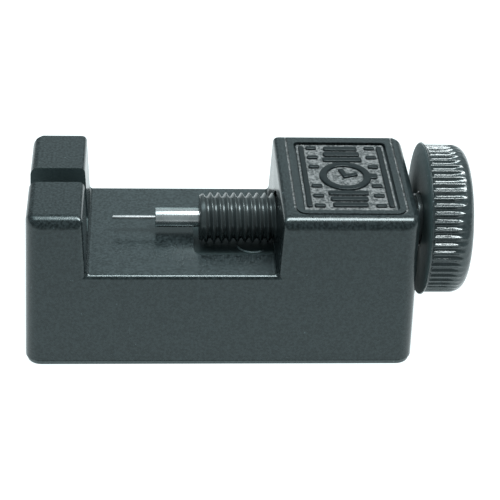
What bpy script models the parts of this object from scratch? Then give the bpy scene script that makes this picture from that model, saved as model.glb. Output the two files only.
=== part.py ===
"""Screw pin press: a bench tool that pushes the link pins out of a watch bracelet.

A moulded body carries a flat bed between a slotted post and a threaded block.  Turning the
knob feeds the screw spindle through the block, and the steel punch on its nose crosses the
bed towards the post's slot.

Frame: +X from the post to the knob, -Y is the front, +Z up, metres.  The origin is the centre
of the base's underside.
"""
import math

import bmesh
import bpy
from mathutils import Matrix, Vector

MM = 0.001
GAP = 0.3 * MM                      # air between pieces that rest on each other
SEATED = 0.1 * MM                   # air between pieces clamped together
RUNNING = 0.08 * MM                 # radial play of a turning fit
CLEAR = 5.0 * MM                    # how far a cutter runs out past the body
NAME = "screw_pin_press"

# Body, outside
LENGTH = 75.0 * MM                  # at the foot
DEPTH = 31.4 * MM
HEIGHT = 33.0 * MM
END_DRAFT = math.radians(2.05)      # lean of every face across X
BED_HEIGHT = 20.7 * MM
POST_FACE = -25.55 * MM             # X of the post's inner face at the bed
BLOCK_FACE = 10.38 * MM             # X of the block's inner face at the bed
CORNER_RADIUS = 2.2 * MM
TOP_RADIUS = 1.5 * MM
INNER_RADIUS = 1.0 * MM
BED_EDGE_RADIUS = 0.7 * MM

# Base plate and shell
PLATE_EDGE = 0.8 * MM
PLATE_THICKNESS = 2.3 * MM
SEAM = 0.25 * MM
WALL = 2.6 * MM                     # front and rear
END_WALL = 3.4 * MM
CAVITY_TOP = 15.2 * MM
BOSS_RADIUS = 2.9 * MM
BOSS_ROOT = 1.0 * MM                # how far a boss runs up into the roof
BOSS_X = 31.0 * MM
BOSS_Y = 9.6 * MM
PILOT_TOP = 11.0 * MM

# Base screws
BASE_SCREW_HEAD_RADIUS = 2.2 * MM
BASE_SCREW_RADIUS = 1.15 * MM
BASE_SCREW_LENGTH = 9.5 * MM
BASE_SCREW_SINK = 0.15 * MM
BASE_SCREW_TIP_RADIUS = 0.6 * MM
BASE_SCREW_TIP = 1.0 * MM

# Spindle line
AXIS_HEIGHT = 23.65 * MM
SPINDLE_RADIUS = 4.85 * MM          # M10 x 1.5, crests slightly flattened
SPINDLE_NOSE = -4.1 * MM            # X of the spindle's left end
SPINDLE_LEAD = 0.7 * MM
TROUGH_RADIUS = 5.35 * MM
TROUGH_END = -5.2 * MM
SMALL_CHAMFER = 0.3 * MM
SLOT_WIDTH = 5.0 * MM
SLOT_FLOOR = 21.6 * MM

# Threaded bush
BUSH_LEFT = 14.0 * MM
BUSH_RIGHT = 35.6 * MM
BUSH_RADIUS = 7.2 * MM
BUSH_CHAMFER = 0.5 * MM

# Knob, as X of its faces
KNOB_LEFT = 38.75 * MM
KNOB_RIGHT = 47.2 * MM
KNOB_RADIUS = 14.36 * MM            # over the ribs
KNOB_END_RADIUS = 2.0 * MM
KNOB_LIP_RADIUS = 14.85 * MM
KNOB_LIP_WIDTH = 0.55 * MM
KNOB_LIP_CHAMFER = 0.12 * MM
RIB_COUNT = 56
RIB_DEPTH = 0.4 * MM
RIB_GROOVE_WIDTH = 1.15 * MM        # at the ribs' crests
COUNTERBORE_DEPTH = 1.0 * MM        # takes the spindle's shoulder
HUB_RIGHT = 43.9 * MM
HEAD_SEAT_RADIUS = 4.6 * MM
CAP_SEAT = 45.6 * MM

# Spindle end inside the knob, its screw, washer and cap
SHANK_RADIUS = 3.0 * MM
SHANK_RIGHT = 42.6 * MM
TAPPED_RADIUS = 1.7 * MM
TAPPED_DEPTH = 4.0 * MM
WASHER_RADIUS = 4.2 * MM
WASHER_BORE = 1.6 * MM
WASHER_THICKNESS = 0.5 * MM
KNOB_SCREW_RADIUS = 1.45 * MM
KNOB_SCREW_TIP = 39.2 * MM
KNOB_SCREW_HEAD_RADIUS = 2.6 * MM
KNOB_SCREW_HEAD = 0.9 * MM
KNOB_SCREW_ROUNDING = 0.4 * MM
CAP_RADIUS = 8.6 * MM
CAP_THICKNESS = 1.0 * MM
CAP_DOME = 0.3 * MM

# Punch
HOLDER_RADIUS = 1.85 * MM
HOLDER_LEFT = -12.6 * MM
HOLDER_CHAMFER = 0.25 * MM
HOLDER_SHANK_RADIUS = 1.5 * MM
HOLDER_SHANK_RIGHT = 3.0 * MM
NOSE_BORE_RIGHT = 6.4 * MM
NOSE_CHAMFER = 0.2 * MM
RING_X = 0.2 * MM
RING_WIDTH = 0.5 * MM
RING_SINK = 0.45 * MM               # into the shank, and out of it
RING_GROOVE = 0.75 * MM             # depth of its groove in the nose bore
RING_MOUTH = 0.8 * MM
BALL_RADIUS = 1.35 * MM
PIN_RADIUS = 0.4 * MM
PIN_CHAMFER = 0.12 * MM
PIN_TIP = -20.84 * MM
PIN_ROOT = -8.0 * MM

# Panel on the block's top
PANEL_X = 23.7 * MM
PANEL_Y = 0.5 * MM
PANEL_LENGTH = 18.2 * MM
PANEL_DEPTH = 24.6 * MM
PANEL_SINK = 0.3 * MM
PANEL_CORNER = 1.0 * MM

ROUND_STEPS = 48
SMALL_STEPS = 24
FINE_STEPS = 16
WELD = 0.000001


# ---------------------------------------------------------------- scene and materials

def clear_scene():
    for old in list(bpy.data.objects):
        bpy.data.objects.remove(old, do_unlink=True)


def new_collection(name):
    made = bpy.data.collections.new(name)
    bpy.context.scene.collection.children.link(made)
    return made


def new_material(name, colour, roughness, metallic):
    made = bpy.data.materials.new(name)
    made.use_nodes = True
    shader = made.node_tree.nodes["Principled BSDF"]
    shader.inputs["Base Color"].default_value = (*colour, 1.0)
    shader.inputs["Roughness"].default_value = roughness
    shader.inputs["Metallic"].default_value = metallic
    return made


clear_scene()
PARTS = new_collection(NAME)
CUTTERS = new_collection(NAME + "_cutters")

BLACK_PLASTIC = new_material("black_plastic", (0.035, 0.045, 0.048), 0.42, 0.0)
KNOB_PLASTIC = new_material("knob_plastic", (0.03, 0.038, 0.04), 0.35, 0.0)
BLACK_STEEL = new_material("black_steel", (0.025, 0.028, 0.03), 0.3, 0.6)
BRIGHT_STEEL = new_material("bright_steel", (0.55, 0.56, 0.57), 0.22, 1.0)
BRASS = new_material("brass", (0.6, 0.42, 0.16), 0.3, 1.0)


# ---------------------------------------------------------------- shape helpers

def place(mesh, name, material, location=(0.0, 0.0, 0.0), parent=None):
    """A named piece of the tool."""
    piece = bpy.data.objects.new(name, mesh)
    PARTS.objects.link(piece)
    piece.location = location
    piece.parent = parent
    mesh.materials.clear()
    mesh.materials.append(material)
    return piece


def place_cutter(mesh, name, location=(0.0, 0.0, 0.0)):
    """A shape that only cuts or joins, kept out of sight."""
    tool = bpy.data.objects.new(name, mesh)
    CUTTERS.objects.link(tool)
    tool.location = location
    tool.hide_render = True
    tool.display_type = "WIRE"
    return tool


def combine(piece, tool, operation="DIFFERENCE"):
    """Cut the tool from the piece, or join the two."""
    step = piece.modifiers.new(tool.name, "BOOLEAN")
    step.operation = operation
    step.solver = "EXACT"
    step.object = tool


def box_mesh(name, low, high):
    """A box between two corners."""
    low = Vector(low)
    high = Vector(high)
    mesh = bpy.data.meshes.new(name)
    form = bmesh.new()
    bmesh.ops.create_cube(form, size=1.0)
    bmesh.ops.scale(form, vec=high - low, verts=form.verts)
    bmesh.ops.translate(form, vec=(high + low) / 2.0, verts=form.verts)
    form.to_mesh(mesh)
    form.free()
    return mesh


def rounded_box_mesh(name, low, high, radius, segments=3):
    """A box with its four upright edges rounded."""
    mesh = box_mesh(name, low, high)
    form = bmesh.new()
    form.from_mesh(mesh)
    upright = [edge for edge in form.edges
               if abs(edge.verts[0].co.z - edge.verts[1].co.z) > WELD]
    bmesh.ops.bevel(form, geom=upright, offset=radius, segments=segments,
                    affect="EDGES", profile=0.5)
    form.to_mesh(mesh)
    form.free()
    return mesh


def rod_mesh(name, radius, length, steps=ROUND_STEPS, along_x=True):
    """A cylinder from its local origin along +X, or along +Z."""
    mesh = bpy.data.meshes.new(name)
    form = bmesh.new()
    bmesh.ops.create_cone(form, cap_ends=True, segments=steps,
                          radius1=radius, radius2=radius, depth=length)
    bmesh.ops.translate(form, vec=(0.0, 0.0, length / 2.0), verts=form.verts)
    if along_x:
        quarter = Matrix.Rotation(math.radians(90.0), 3, "Y")
        bmesh.ops.rotate(form, matrix=quarter, verts=form.verts)
    form.to_mesh(mesh)
    form.free()
    return mesh


def turned(name, outline, material, location, parent=None, steps=ROUND_STEPS, on_x=True):
    """A piece turned from an outline of (radius, height) points.

    The outline runs down the outside, top to bottom.  Its first and last points lie on the
    axis for a solid piece; for a pierced one they are joined up the inside.
    """
    mesh = bpy.data.meshes.new(name)
    points = [(radius, 0.0, height) for radius, height in outline]
    edges = [(i, i + 1) for i in range(len(points) - 1)]
    if outline[0][0] > 0.0:
        edges.append((len(points) - 1, 0))
    mesh.from_pydata(points, edges, [])
    piece = place(mesh, name, material, location, parent)
    screw = piece.modifiers.new("turn", "SCREW")
    screw.axis = "Z"
    screw.angle = math.tau
    screw.steps = steps
    screw.render_steps = steps
    screw.use_merge_vertices = True
    screw.merge_threshold = WELD
    screw.use_smooth_shade = True
    if on_x:
        piece.rotation_euler = (0.0, math.radians(90.0), 0.0)
    return piece


def arc(centre_r, centre_h, radius, start, end, count):
    """Points of an arc in the (radius, height) plane, angles in degrees."""
    points = []
    for i in range(count + 1):
        angle = math.radians(start + (end - start) * i / count)
        points.append((centre_r + radius * math.cos(angle), centre_h + radius * math.sin(angle)))
    return points


# ---------------------------------------------------------------- body

def lean(x, height):
    """X of a drafted face at a height, for a face that stands at x at the foot."""
    shift = height * math.tan(END_DRAFT)
    return x - shift if x > 0.0 else x + shift


def body_outline():
    """The body seen from the front: post, bed and block, as (x, z) corners."""
    half = LENGTH / 2.0
    foot = PLATE_EDGE + SEAM
    rise = (HEIGHT - BED_HEIGHT) * math.tan(END_DRAFT)
    return [
        (-half + foot * math.tan(END_DRAFT), foot),
        (lean(half, foot), foot),
        (lean(half, HEIGHT), HEIGHT),
        (BLOCK_FACE + rise, HEIGHT),
        (BLOCK_FACE, BED_HEIGHT),
        (POST_FACE, BED_HEIGHT),
        (POST_FACE - rise, HEIGHT),
        (lean(-half, HEIGHT), HEIGHT),
    ]


def edge_radius(edge):
    """How far one edge of the body is rounded."""
    first, last = (vert.co for vert in edge.verts)
    foot = PLATE_EDGE + SEAM
    middle = (first + last) / 2.0
    if middle.z < foot + WELD:
        return 0.0
    runs_across = abs(first.y - last.y) > WELD
    at_bed = abs(first.z - BED_HEIGHT) < WELD and abs(last.z - BED_HEIGHT) < WELD
    if at_bed:
        return INNER_RADIUS if runs_across else BED_EDGE_RADIUS
    if abs(first.z - HEIGHT) < WELD and abs(last.z - HEIGHT) < WELD:
        return TOP_RADIUS
    outer = min(abs(first.x), abs(last.x)) > LENGTH / 2.0 - END_WALL
    return CORNER_RADIUS if outer else INNER_RADIUS


def body_blank():
    """The body's outer form with its rounded edges, still solid."""
    outline = body_outline()
    mesh = bpy.data.meshes.new("body_frame")
    form = bmesh.new()
    front = [form.verts.new((x, -DEPTH / 2.0, z)) for x, z in outline]
    face = form.faces.new(front)
    pulled = bmesh.ops.extrude_face_region(form, geom=[face])
    moved = [item for item in pulled["geom"] if isinstance(item, bmesh.types.BMVert)]
    bmesh.ops.translate(form, vec=(0.0, DEPTH, 0.0), verts=moved)
    bmesh.ops.recalc_face_normals(form, faces=form.faces)
    weights = form.edges.layers.float.new("bevel_weight_edge")
    for edge in form.edges:
        edge[weights] = edge_radius(edge) / CORNER_RADIUS
    form.to_mesh(mesh)
    form.free()
    piece = place(mesh, "body_frame", BLACK_PLASTIC)
    bevel = piece.modifiers.new("rounding", "BEVEL")
    bevel.limit_method = "WEIGHT"
    bevel.width = CORNER_RADIUS
    bevel.segments = 3
    bevel.use_clamp_overlap = False
    return piece


def screw_places():
    """The four base screws' places, front left first."""
    return [(side_x * BOSS_X, side_y * BOSS_Y) for side_x in (-1, 1) for side_y in (-1, 1)]


def cavity_mesh():
    """The hollow under the bed, open at the foot."""
    half_x = LENGTH / 2.0 - END_WALL
    half_y = DEPTH / 2.0 - WALL
    return rounded_box_mesh("cavity", (-half_x, -half_y, 0.0), (half_x, half_y, CAVITY_TOP),
                            CORNER_RADIUS / 2.0, 2)


def add_bosses(body):
    """Four posts inside the shell, each with a pilot hole for a base screw."""
    foot = PLATE_THICKNESS + GAP
    for index, (x, y) in enumerate(screw_places(), 1):
        boss = rod_mesh("boss", BOSS_RADIUS, CAVITY_TOP + BOSS_ROOT - foot, SMALL_STEPS, False)
        combine(body, place_cutter(boss, f"add_boss_{index}", (x, y, foot)), "UNION")
    for index, (x, y) in enumerate(screw_places(), 1):
        pilot = rod_mesh("pilot", BASE_SCREW_RADIUS + RUNNING, PILOT_TOP - foot + GAP,
                         FINE_STEPS, False)
        combine(body, place_cutter(pilot, f"cut_pilot_{index}", (x, y, foot - GAP)))


def cut_spindle_way(body):
    """The trough in the bed, and the seat of the bush through the block."""
    past = LENGTH / 2.0 + CLEAR
    trough = rod_mesh("trough", TROUGH_RADIUS, past - TROUGH_END)
    combine(body, place_cutter(trough, "cut_trough", (TROUGH_END, 0.0, AXIS_HEIGHT)))
    left = BUSH_LEFT - GAP
    seat = rod_mesh("bush_seat", BUSH_RADIUS + RUNNING, past - left)
    combine(body, place_cutter(seat, "cut_bush_seat", (left, 0.0, AXIS_HEIGHT)))


def make_body():
    body = body_blank()
    combine(body, place_cutter(cavity_mesh(), "cut_cavity"))
    add_bosses(body)
    cut_spindle_way(body)
    half_slot = SLOT_WIDTH / 2.0
    slot = box_mesh("slot", (-LENGTH / 2.0 - CLEAR, -half_slot, SLOT_FLOOR),
                    (POST_FACE + CLEAR, half_slot, HEIGHT + CLEAR))
    combine(body, place_cutter(slot, "cut_slot"))
    half_x = PANEL_LENGTH / 2.0
    half_y = PANEL_DEPTH / 2.0
    panel = rounded_box_mesh("panel", (PANEL_X - half_x, PANEL_Y - half_y, HEIGHT - PANEL_SINK),
                             (PANEL_X + half_x, PANEL_Y + half_y, HEIGHT + CLEAR), PANEL_CORNER)
    combine(body, place_cutter(panel, "cut_panel"))


# ---------------------------------------------------------------- base

def make_base_plate():
    """A thin flange under the body's rim, with a thicker plug inside the shell."""
    flange = rounded_box_mesh("base_plate", (-LENGTH / 2.0, -DEPTH / 2.0, 0.0),
                              (LENGTH / 2.0, DEPTH / 2.0, PLATE_EDGE), CORNER_RADIUS)
    plate = place(flange, "base_plate", BLACK_PLASTIC)
    half_x = LENGTH / 2.0 - END_WALL - GAP
    half_y = DEPTH / 2.0 - WALL - GAP
    plug = rounded_box_mesh("plug", (-half_x, -half_y, PLATE_EDGE / 2.0),
                            (half_x, half_y, PLATE_THICKNESS), CORNER_RADIUS / 2.0, 2)
    combine(plate, place_cutter(plug, "add_plug"), "UNION")
    for index, (x, y) in enumerate(screw_places(), 1):
        hole = rod_mesh("clearance_hole", BASE_SCREW_RADIUS + GAP, 2.0 * CLEAR, SMALL_STEPS, False)
        combine(plate, place_cutter(hole, f"cut_hole_{index}", (x, y, -CLEAR)))
        combine(plate, place_cutter(countersink_mesh(), f"cut_sink_{index}", (x, y, 0.0)))


def countersink_mesh():
    """The countersink for one base screw: a cone that opens downward past the plate."""
    mesh = bpy.data.meshes.new("countersink")
    form = bmesh.new()
    wide = BASE_SCREW_HEAD_RADIUS + GAP + CLEAR
    depth = wide - BASE_SCREW_RADIUS
    bmesh.ops.create_cone(form, cap_ends=True, segments=SMALL_STEPS,
                          radius1=wide, radius2=BASE_SCREW_RADIUS, depth=depth)
    bmesh.ops.translate(form, vec=(0.0, 0.0, depth / 2.0 - CLEAR + BASE_SCREW_SINK),
                        verts=form.verts)
    form.to_mesh(mesh)
    form.free()
    return mesh


def make_base_screws():
    """Countersunk screws, heads just inside the plate's underside."""
    head = BASE_SCREW_HEAD_RADIUS
    shank = BASE_SCREW_RADIUS
    neck = BASE_SCREW_SINK + head - shank
    tip = BASE_SCREW_SINK + BASE_SCREW_LENGTH
    outline = [(0.0, tip), (BASE_SCREW_TIP_RADIUS, tip), (shank, tip - BASE_SCREW_TIP),
               (shank, neck), (head, BASE_SCREW_SINK), (0.0, BASE_SCREW_SINK)]
    for index, (x, y) in enumerate(screw_places(), 1):
        turned(f"base_screw_{index}", outline, BRIGHT_STEEL, (x, y, 0.0),
               steps=SMALL_STEPS, on_x=False)


# ---------------------------------------------------------------- bush, spindle and knob

def axis_empty(name, x, parent=None):
    """An empty on the spindle line, on which moving pieces hang."""
    empty = bpy.data.objects.new(name, None)
    PARTS.objects.link(empty)
    empty.location = (x, 0.0, AXIS_HEIGHT) if parent is None else (x, 0.0, 0.0)
    empty.parent = parent
    return empty


def make_bush():
    """A plain brass bush whose bore stands for the M10 thread."""
    bore = SPINDLE_RADIUS + RUNNING
    chamfer = BUSH_CHAMFER
    length = BUSH_RIGHT - BUSH_LEFT
    outline = [(BUSH_RADIUS - chamfer, length), (BUSH_RADIUS, length - chamfer),
               (BUSH_RADIUS, chamfer), (BUSH_RADIUS - chamfer, 0.0),
               (bore + chamfer, 0.0), (bore, chamfer), (bore, length - chamfer),
               (bore + chamfer, length)]
    turned("thread_bush", outline, BRASS, (BUSH_LEFT, 0.0, AXIS_HEIGHT))


def make_spindle(carrier):
    """The spindle with its bored nose and the shank that carries the knob.

    Heights along the axis are measured from the nose.
    """
    origin = SPINDLE_NOSE
    shoulder = KNOB_LEFT + COUNTERBORE_DEPTH - GAP - origin
    end = SHANK_RIGHT - origin
    tapped = end - TAPPED_DEPTH
    bore = HOLDER_SHANK_RADIUS + RUNNING
    groove = HOLDER_SHANK_RADIUS + RING_GROOVE
    groove_low = RING_X - RING_WIDTH / 2.0 - GAP - origin
    groove_high = RING_X + RING_WIDTH / 2.0 + GAP - origin
    bottom = NOSE_BORE_RIGHT - origin
    outline = [(0.0, tapped), (TAPPED_RADIUS, tapped), (TAPPED_RADIUS, end),
               (SHANK_RADIUS - SMALL_CHAMFER, end), (SHANK_RADIUS, end - SMALL_CHAMFER),
               (SHANK_RADIUS, shoulder), (SPINDLE_RADIUS - SPINDLE_LEAD, shoulder),
               (SPINDLE_RADIUS, shoulder - SPINDLE_LEAD), (SPINDLE_RADIUS, SPINDLE_LEAD),
               (SPINDLE_RADIUS - SPINDLE_LEAD, 0.0), (bore + NOSE_CHAMFER, 0.0),
               (bore, NOSE_CHAMFER), (bore, groove_low), (groove, groove_low),
               (groove, groove_high), (bore, groove_high), (bore, bottom), (0.0, bottom)]
    turned("spindle", outline, BLACK_STEEL, (SPINDLE_NOSE, 0.0, 0.0), carrier)


def knob_outline():
    """The knob's half section, with heights measured from its left face."""
    origin = KNOB_LEFT
    width = KNOB_RIGHT - origin
    cap_seat = CAP_SEAT - origin
    hub = HUB_RIGHT - origin
    cap_bore = CAP_RADIUS + GAP
    bore = SHANK_RADIUS + GAP
    shoulder_bore = SPINDLE_RADIUS + GAP
    end = KNOB_END_RADIUS
    lip = KNOB_LIP_WIDTH
    outline = [(cap_bore, width)]
    outline += arc(KNOB_RADIUS - end, width - end, end, 90.0, 0.0, 4)
    outline += [(KNOB_RADIUS, lip), (KNOB_LIP_RADIUS, lip), (KNOB_LIP_RADIUS, KNOB_LIP_CHAMFER),
                (KNOB_LIP_RADIUS - KNOB_LIP_CHAMFER, 0.0), (shoulder_bore, 0.0),
                (shoulder_bore, COUNTERBORE_DEPTH), (bore, COUNTERBORE_DEPTH), (bore, hub),
                (HEAD_SEAT_RADIUS, hub), (HEAD_SEAT_RADIUS, cap_seat), (cap_bore, cap_seat)]
    return outline


def rib_grooves_mesh():
    """V-shaped bars around the knob, one between each pair of ribs, lying along X."""
    mesh = bpy.data.meshes.new("rib_grooves")
    form = bmesh.new()
    proud = RIB_DEPTH / 4.0
    half_angle = RIB_GROOVE_WIDTH / 2.0 * (1.0 + proud / RIB_DEPTH) / (KNOB_RADIUS + proud)
    low = KNOB_LEFT + KNOB_LIP_WIDTH
    high = KNOB_RIGHT + CLEAR
    for index in range(RIB_COUNT):
        middle = math.tau * (index + 0.5) / RIB_COUNT
        corners = [(KNOB_RADIUS - RIB_DEPTH, middle), (KNOB_RADIUS + proud, middle - half_angle),
                   (KNOB_RADIUS + proud, middle + half_angle)]
        ends = []
        for x in (low, high):
            ends.append([form.verts.new((x, radius * math.sin(angle), radius * math.cos(angle)))
                         for radius, angle in corners])
        form.faces.new(ends[0])
        form.faces.new(list(reversed(ends[1])))
        for i in range(3):
            j = (i + 1) % 3
            form.faces.new((ends[0][j], ends[0][i], ends[1][i], ends[1][j]))
    bmesh.ops.recalc_face_normals(form, faces=form.faces)
    form.to_mesh(mesh)
    form.free()
    return mesh


def make_knob(carrier):
    """The knob: thin lip, ribbed grip, rounded outer end, hub bore and the cap's seat."""
    knob = turned("knob", knob_outline(), KNOB_PLASTIC, (KNOB_LEFT, 0.0, 0.0), carrier,
                  steps=RIB_COUNT)
    combine(knob, place_cutter(rib_grooves_mesh(), "cut_rib_grooves", (0.0, 0.0, AXIS_HEIGHT)))


def make_knob_fixings(carrier):
    """Washer and pan-head screw in the knob's outer recess, under a domed cap."""
    left = HUB_RIGHT + SEATED
    thick = WASHER_THICKNESS
    washer = [(WASHER_RADIUS, thick), (WASHER_RADIUS, 0.0), (WASHER_BORE, 0.0),
              (WASHER_BORE, thick)]
    turned("knob_washer", washer, BRIGHT_STEEL, (left, 0.0, 0.0), carrier, steps=SMALL_STEPS)
    head_left = left + thick + SEATED
    wide = KNOB_SCREW_HEAD_RADIUS
    high = KNOB_SCREW_HEAD
    rounding = KNOB_SCREW_ROUNDING
    thin = KNOB_SCREW_RADIUS
    tip = KNOB_SCREW_TIP - head_left
    screw = [(0.0, high), (wide - rounding, high), (wide, high - rounding), (wide, 0.0),
             (thin, 0.0), (thin, tip + rounding), (thin - rounding, tip), (0.0, tip)]
    turned("knob_screw", screw, BRIGHT_STEEL, (head_left, 0.0, 0.0), carrier, steps=SMALL_STEPS)
    thick = CAP_THICKNESS
    cap = [(0.0, thick + CAP_DOME), (CAP_RADIUS * 0.5, thick + CAP_DOME * 0.75),
           (CAP_RADIUS - SMALL_CHAMFER, thick), (CAP_RADIUS, thick - SMALL_CHAMFER),
           (CAP_RADIUS, 0.0), (0.0, 0.0)]
    turned("knob_cap", cap, KNOB_PLASTIC, (CAP_SEAT + GAP, 0.0, 0.0), carrier)


# ---------------------------------------------------------------- punch

def make_punch_holder(slide):
    """The sleeve, bored for the pin, with a grooved shank that swivels in the spindle."""
    left = HOLDER_LEFT
    shank = HOLDER_SHANK_RADIUS
    collar = SPINDLE_NOSE - SEATED - left
    end = HOLDER_SHANK_RIGHT - left
    ring_low = RING_X - RING_WIDTH / 2.0 - RUNNING - left
    ring_high = RING_X + RING_WIDTH / 2.0 + RUNNING - left
    waist = shank - RING_SINK
    pin_bore = PIN_RADIUS + RUNNING / 2.0
    pin_floor = PIN_ROOT + GAP - left
    outline = [(0.0, end), (shank - NOSE_CHAMFER, end), (shank, end - NOSE_CHAMFER),
               (shank, ring_high), (waist, ring_high), (waist, ring_low), (shank, ring_low),
               (shank, collar), (HOLDER_RADIUS, collar), (HOLDER_RADIUS, HOLDER_CHAMFER),
               (HOLDER_RADIUS - HOLDER_CHAMFER, 0.0), (pin_bore, 0.0), (pin_bore, pin_floor),
               (0.0, pin_floor)]
    turned("punch_holder", outline, BRIGHT_STEEL, (left, 0.0, 0.0), slide, steps=SMALL_STEPS)


def make_punch_pin(slide):
    length = PIN_ROOT - PIN_TIP
    outline = [(0.0, length), (PIN_RADIUS, length), (PIN_RADIUS, PIN_CHAMFER),
               (PIN_RADIUS - PIN_CHAMFER, 0.0), (0.0, 0.0)]
    turned("punch_pin", outline, BRIGHT_STEEL, (PIN_TIP, 0.0, 0.0), slide, steps=FINE_STEPS)


def make_holder_ring(slide):
    """A spring ring in the shank's groove, cut open at the top."""
    inner = HOLDER_SHANK_RADIUS - RING_SINK + RUNNING
    outer = HOLDER_SHANK_RADIUS + RING_SINK
    outline = [(outer, RING_WIDTH), (outer, 0.0), (inner, 0.0), (inner, RING_WIDTH)]
    left = RING_X - RING_WIDTH / 2.0
    ring = turned("holder_ring", outline, BRIGHT_STEEL, (left, 0.0, 0.0), slide,
                  steps=SMALL_STEPS)
    half = RING_MOUTH / 2.0
    mouth = box_mesh("mouth", (-half, -half, half), (RING_WIDTH + half, half, outer + half))
    combine(ring, place_cutter(mouth, "cut_ring_mouth", (left, 0.0, AXIS_HEIGHT)))


def make_thrust_ball(slide):
    mesh = bpy.data.meshes.new("thrust_ball")
    form = bmesh.new()
    bmesh.ops.create_uvsphere(form, u_segments=16, v_segments=10, radius=BALL_RADIUS)
    form.to_mesh(mesh)
    form.free()
    place(mesh, "thrust_ball", BRIGHT_STEEL,
          (HOLDER_SHANK_RIGHT + BALL_RADIUS + SEATED, 0.0, 0.0), slide)


# ---------------------------------------------------------------- assembly

def smooth_round_pieces():
    for piece in PARTS.objects:
        if piece.type == "MESH":
            piece.data.shade_smooth()
            piece.data.set_sharp_from_angle(angle=math.radians(35.0))


def build():
    make_body()
    make_base_plate()
    make_base_screws()
    make_bush()
    feed = axis_empty("feed_axis", 0.0)
    turn = axis_empty("turn_axis", 0.0, feed)
    make_punch_holder(feed)
    make_punch_pin(feed)
    make_holder_ring(feed)
    make_thrust_ball(feed)
    make_spindle(turn)
    make_knob(turn)
    make_knob_fixings(turn)
    smooth_round_pieces()
    bpy.context.view_layer.update()


build()
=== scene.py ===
"""Looks of the screw pin press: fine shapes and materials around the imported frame.

Lengths are in metres.  MM turns a size in millimetres into metres.  +X runs from the slotted
post to the knob, -Y is the front and +Z is up.
"""
import math

import bmesh
import bpy
from mathutils import Matrix, Vector


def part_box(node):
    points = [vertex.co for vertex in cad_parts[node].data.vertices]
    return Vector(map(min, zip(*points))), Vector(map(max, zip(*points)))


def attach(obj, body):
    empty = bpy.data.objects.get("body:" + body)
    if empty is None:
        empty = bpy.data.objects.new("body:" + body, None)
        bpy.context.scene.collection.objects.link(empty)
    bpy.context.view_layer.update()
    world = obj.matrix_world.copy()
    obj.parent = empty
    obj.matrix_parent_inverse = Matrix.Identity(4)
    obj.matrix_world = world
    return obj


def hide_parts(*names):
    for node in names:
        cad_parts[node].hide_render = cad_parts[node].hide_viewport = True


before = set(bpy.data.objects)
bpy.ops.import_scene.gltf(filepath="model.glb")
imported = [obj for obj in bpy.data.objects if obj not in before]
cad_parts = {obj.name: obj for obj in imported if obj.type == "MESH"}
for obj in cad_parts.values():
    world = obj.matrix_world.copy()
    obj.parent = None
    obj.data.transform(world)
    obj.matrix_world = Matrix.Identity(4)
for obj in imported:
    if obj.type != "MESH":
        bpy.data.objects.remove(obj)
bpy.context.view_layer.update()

MM = 0.001
WELD = 1e-7                     # two places this near count as one


# ------------------------------------------------ sizes

# Read from the frame
PLATE_LOW, PLATE_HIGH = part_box("base_plate")
BODY_LOW, BODY_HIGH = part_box("body_frame")
SPINDLE_LOW, SPINDLE_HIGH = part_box("spindle")
KNOB_LOW, KNOB_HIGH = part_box("knob")
HOLDER_LOW, HOLDER_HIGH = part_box("punch_holder")
PIN_LOW, PIN_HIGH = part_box("punch_pin")
BUSH_LOW, BUSH_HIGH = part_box("thread_bush")
CAP_LOW, CAP_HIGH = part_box("knob_cap")
RING_LOW, RING_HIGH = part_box("holder_ring")
AXIS_HEIGHT = (SPINDLE_LOW.z + SPINDLE_HIGH.z) / 2.0
LENGTH = PLATE_HIGH.x - PLATE_LOW.x
DEPTH = PLATE_HIGH.y - PLATE_LOW.y
BODY_GROWTH = 0.15 * MM         # how far the body drawn here passes the frame's, below and above
FOOT = BODY_LOW.z - BODY_GROWTH
HEIGHT = BODY_HIGH.z + BODY_GROWTH

GAP = 0.3 * MM                  # air between pieces that rest on each other
RUNNING = 0.08 * MM             # air round a turning piece
BEYOND = 5.0 * MM               # how far a cutter reaches past what it cuts
NEAR = 0.01 * MM                # a face this near a place counts as being there
SMOOTH_ANGLE = 32.0             # degrees between faces that still shade as one
FLAT_WEIGHT = 60                # how strongly large faces set the normals
FACING = 0.9                    # from this part of a normal on, a face looks along an axis
ASIDE = 0.1                     # below this part of a normal, it looks aside
TURN_STEPS = 96                 # steps round a turned piece
SMALL_STEPS = 48

# Body
END_DRAFT = math.radians(2.05)
BED_HEIGHT = 20.7 * MM
POST_FACE = -25.55 * MM
BLOCK_FACE = 10.38 * MM
CORNER_RADIUS = 2.8 * MM
FRONT_TOP_RADIUS = 2.3 * MM
REAR_TOP_RADIUS = 1.4 * MM
END_TOP_RADIUS = 1.5 * MM
INNER_RADIUS = 1.0 * MM
BED_EDGE_RADIUS = 0.8 * MM
SLOT_WIDTH = 5.0 * MM
SLOT_FLOOR = 21.6 * MM
SLOT_CORNER = 0.8 * MM
CUT_EDGE_RADIUS = 0.12 * MM
SHARP_ANGLE = 40.0              # degrees from which a cut's edge is rounded
WAY_RADIUS = 5.35 * MM
POCKET_END = -5.2 * MM
POCKET_WIDTH = 16.6 * MM
POCKET_FLOOR = 18.2 * MM
POCKET_CORNER = 1.4 * MM
WALL = 2.6 * MM
END_WALL = 3.4 * MM
CAVITY_TOP = 15.2 * MM
CAVITY_CORNER = 1.1 * MM
CUT_EDGES_ABOVE = CAVITY_TOP + 1.5 * MM     # the hollow's edges, lower down, stay sharp
BOSS_RADIUS = 2.9 * MM
BOSS_ROOT = 1.0 * MM            # how far a boss runs up into the roof
PILOT_RADIUS = 1.23 * MM
PILOT_TOP = 11.0 * MM
# Body material slots: its own plastic; the panel's field and the bed with painted sheen; the slot
# and pocket painted lighter, as painted fill light in their shade
BODY_FINISH, PANEL_PAINTED_SHEEN, BED_PAINTED_SHEEN, SLOT_PAINTED_LIGHT = range(4)

# Base plate
PLATE_EDGE = 0.8 * MM
PLATE_EDGE_RADIUS = 0.15 * MM
PLATE_INSET = 0.35 * MM

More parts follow.
